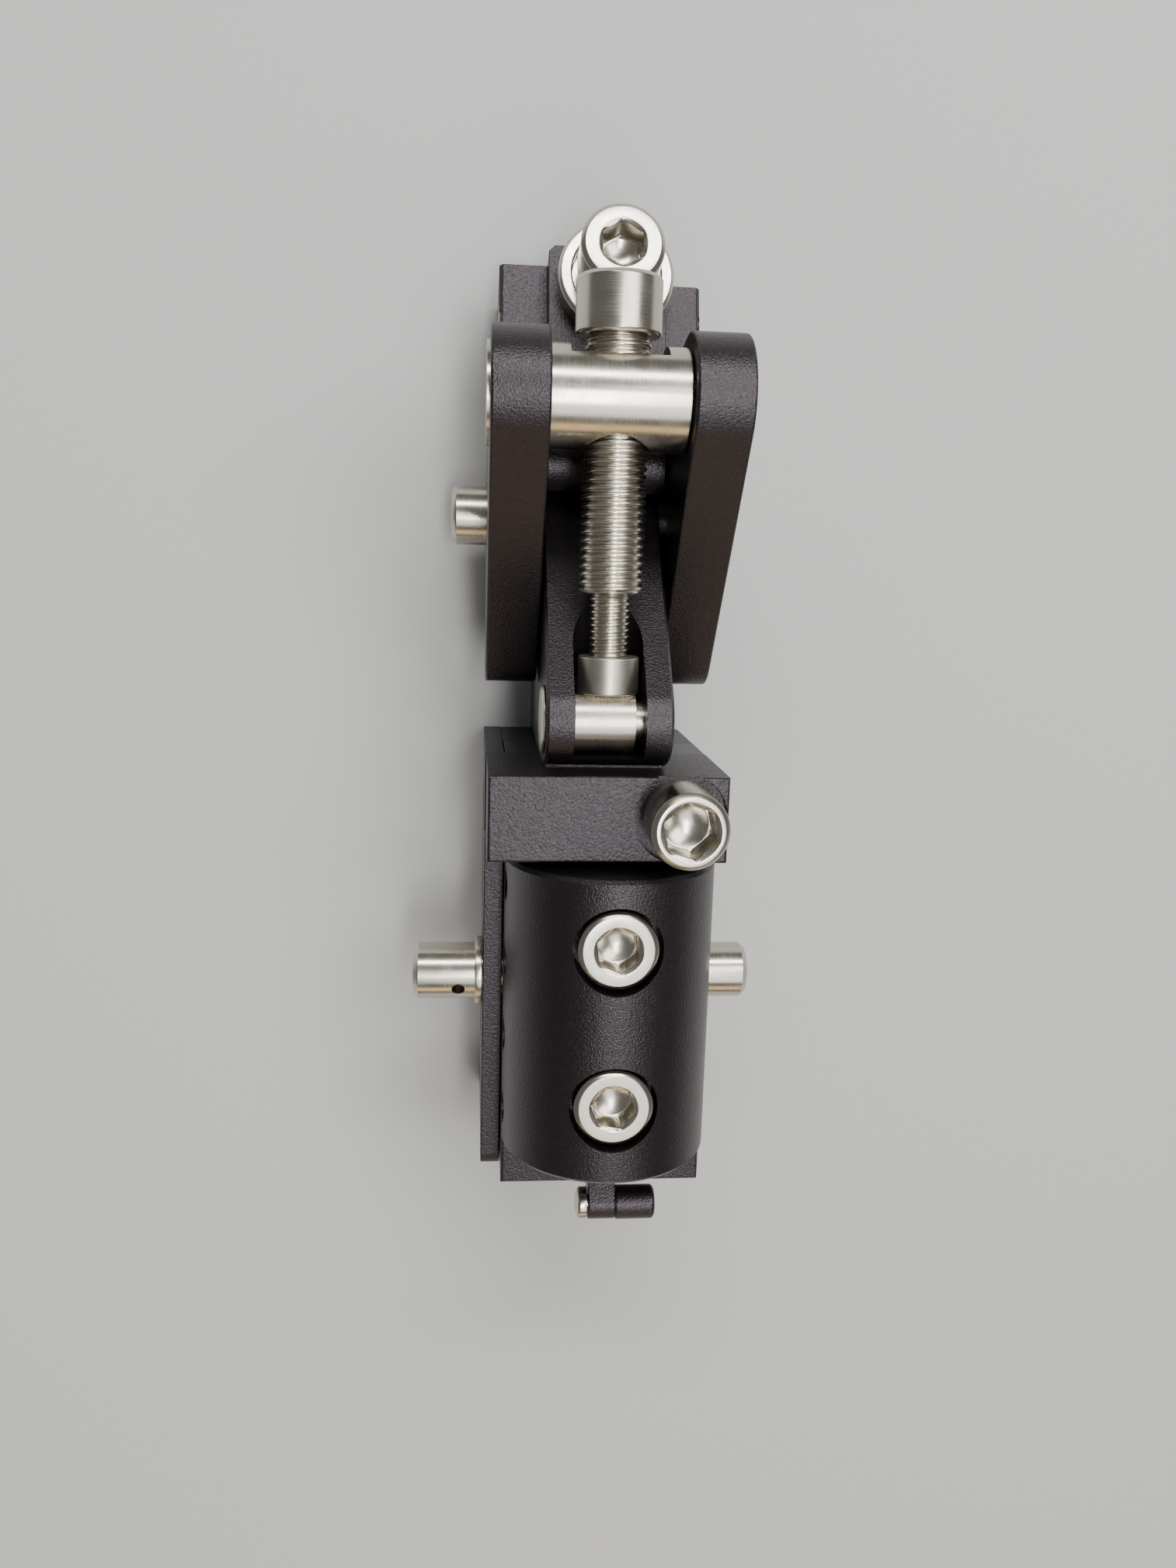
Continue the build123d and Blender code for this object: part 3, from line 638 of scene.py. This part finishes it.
cap_low, cap_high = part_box("trunnion_cap")
cap = [
    (0.0, 0.0), (0.0, 4.3), (-0.15, 4.3), (-0.38, 4.0), (-0.45, 3.2), (-0.45, 0.0),
]
cap_origin = Vector((cap_high.x, lower_line.y, lower_line.z))
cap_mesh = surface(rounded(circle_rows(cap), 0.12), cap_origin, ALONG_X, ALONG_Y)
turned_piece("trunnion_cap_turned", "trunnion_cap", "lower_trunnion", steel_lower, cap_mesh)

pin_low, pin_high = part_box("hinge_pin")
pin_start, pin_end = pin_low.x / MM, pin_high.x / MM
hinge = [
    (pin_start, 0.0), (pin_start, 1.4), (pin_start + 0.35, 1.6), (pin_start + 0.35, 2.2),
    (pin_start, 2.4), (pin_start, 3.4), (pin_start + 0.6, 4.0), (pin_end - 0.6, 4.0),
    (pin_end, 3.4), (pin_end, 0.0),
]
hinge_origin = Vector((0, hinge_line.y, hinge_line.z))
hinge_mesh = surface(rounded(circle_rows(hinge), 0.1), hinge_origin, ALONG_X, ALONG_Y)
turned_piece("hinge_pin_turned", "hinge_pin", "carriage", steel_hinge, hinge_mesh)

# %% [markdown]
# ## The lug pin
#
# At the lower end a small pin goes through a lug. It has a slightly domed head on the left, and
# a black barrel on the right.

# %% Lug pin
lug_low, lug_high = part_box("lug_pin")
lug_start, lug_end = lug_low.x / MM, lug_high.x / MM
lug = [
    (lug_start, 0.0), (lug_start + 0.05, 0.9), (lug_start + 0.35, 1.9), (lug_start + 0.6, 2.15),
    (lug_start + 1.6, 2.15), (lug_start + 1.6, 1.1), (lug_end, 1.1), (lug_end, 0.0),
]
lug_origin = Vector((0, lug_line.y, lug_line.z))
lug_mesh = surface(rounded(circle_rows(lug), 0.08), lug_origin, ALONG_X, ALONG_Y)
turned_piece("lug_pin_turned", "lug_pin", "end_knob", steel_lug, lug_mesh)

# %% [markdown]
# ## Hidden and half-hidden fasteners
#
# The countersunk screws on the sides and the underside keep their CAD shape with a small
# softening. The dowels, the retainer and the pressure shoe hardly show, and only take a finish.

# %% Fasteners that keep their CAD shape
steel_plain = turned_steel("stainless_countersunk_screws", Vector((0, 0, 0)), ALONG_Z, ring_mm=0.4)
hidden = ("block_dowels", "screw_retainer", "pressure_shoe")
flush = {
    "base_screws": "clamp_frame",
    "link_screws": "clamp_frame",
    "side_plate_screws": "clamp_frame",
    "cheek_screws": "carriage",
    "jaw_screws": "carriage",
}
for name in hidden:
    nodes[name].data.materials.clear()
    nodes[name].data.materials.append(steel_plain)
for name, body in flush.items():
    softened(name, body, STEEL, steel_plain, 0.06, segments=2)
print("plain fasteners:", len(hidden) + len(flush))

# %% [markdown]
# ## Floor, light and camera
#
# A pale, plain floor lies under the clamp. The light is what a small studio has. Two narrow
# ceiling boxes draw two white bands along every pin. A wide box and an overhead one put a soft
# sheen on the black faces and the screw heads. A low warm one from the front gilds the lower
# side of the steel. The camera looks down from above, slightly from the left.

# %% Floor
floor_mesh = bpy.data.meshes.new("floor")
FLOOR = 1.5
floor_mesh.from_pydata(
    [(-FLOOR, -FLOOR, 0), (FLOOR, -FLOOR, 0), (FLOOR, FLOOR, 0), (-FLOOR, FLOOR, 0)], [], [(0, 1, 2, 3)]
)
floor = bpy.data.objects.new("floor", floor_mesh)
FLOOR_GAP_MM = 0.05
floor.location.z = -FLOOR_GAP_MM * MM
bpy.context.scene.collection.objects.link(floor)
paper, paper_tree, paper_bsdf, paper_place = start_material("matt_paper_floor", **{"Roughness": 0.85})
paper_bsdf.inputs["Base Color"].default_value = linear("#cfcfcd")
floor_mesh.materials.append(paper)
print("floor", 2 * FLOOR, "m wide")


# %% Lights
def soft_box(name, place, aim, width, height, watts, colour="#ffffff"):
    """A rectangular area light at place that looks at aim."""
    light = bpy.data.lights.new(name, "AREA")
    light.shape = "RECTANGLE"
    light.size, light.size_y = width, height
    light.energy = watts
    light.color = linear(colour)[:3]
    lamp = bpy.data.objects.new(name, light)
    lamp.location = place
    lamp.rotation_euler = (Vector(aim) - Vector(place)).to_track_quat("-Z", "Y").to_euler()
    bpy.context.scene.collection.objects.link(lamp)
    return lamp


AIM = (0, 0.03, 0.02)
WORLD_STRENGTH = 0.2
soft_box("ceiling_box_near", (0.06, 0.02, 0.75), AIM, 0.34, 0.07, 2.0)
soft_box("ceiling_box_far", (0.04, 0.62, 0.55), AIM, 0.6, 0.1, 3.6)
soft_box("wide_box", (0.4, 0.3, 0.8), AIM, 0.45, 0.45, 3.5)
soft_box("overhead_box", (0.1, -0.3, 0.75), AIM, 0.34, 0.5, 1.2)
soft_box("warm_front_box", (0.0, -0.6, 0.25), AIM, 0.9, 0.2, 0.8, "#ffd9a0")
world = bpy.data.worlds.new("studio")
world.use_nodes = True
world.node_tree.nodes["Background"].inputs["Color"].default_value = linear("#e6e8ea")
world.node_tree.nodes["Background"].inputs["Strength"].default_value = WORLD_STRENGTH
bpy.context.scene.world = world
print("five soft boxes")

# %% Camera
LENS_MM = 28.08
CAMERA_PLACE = (-0.0169, 0.0583, 0.186)
CAMERA_TILT = (-10.98, -5.38, 0.61)
camera_data = bpy.data.cameras.new("camera")
camera_data.lens = LENS_MM
camera_data.clip_start = 0.01
camera = bpy.data.objects.new("camera", camera_data)
turn = Matrix.Identity(4)
for degrees, letter in zip(CAMERA_TILT, "XYZ"):
    turn = turn @ Matrix.Rotation(math.radians(degrees), 4, letter)
camera.matrix_world = Matrix.Translation(CAMERA_PLACE) @ turn
bpy.context.scene.collection.objects.link(camera)
bpy.context.scene.camera = camera
print("camera", round(camera.location.z / MM), "mm above the floor")
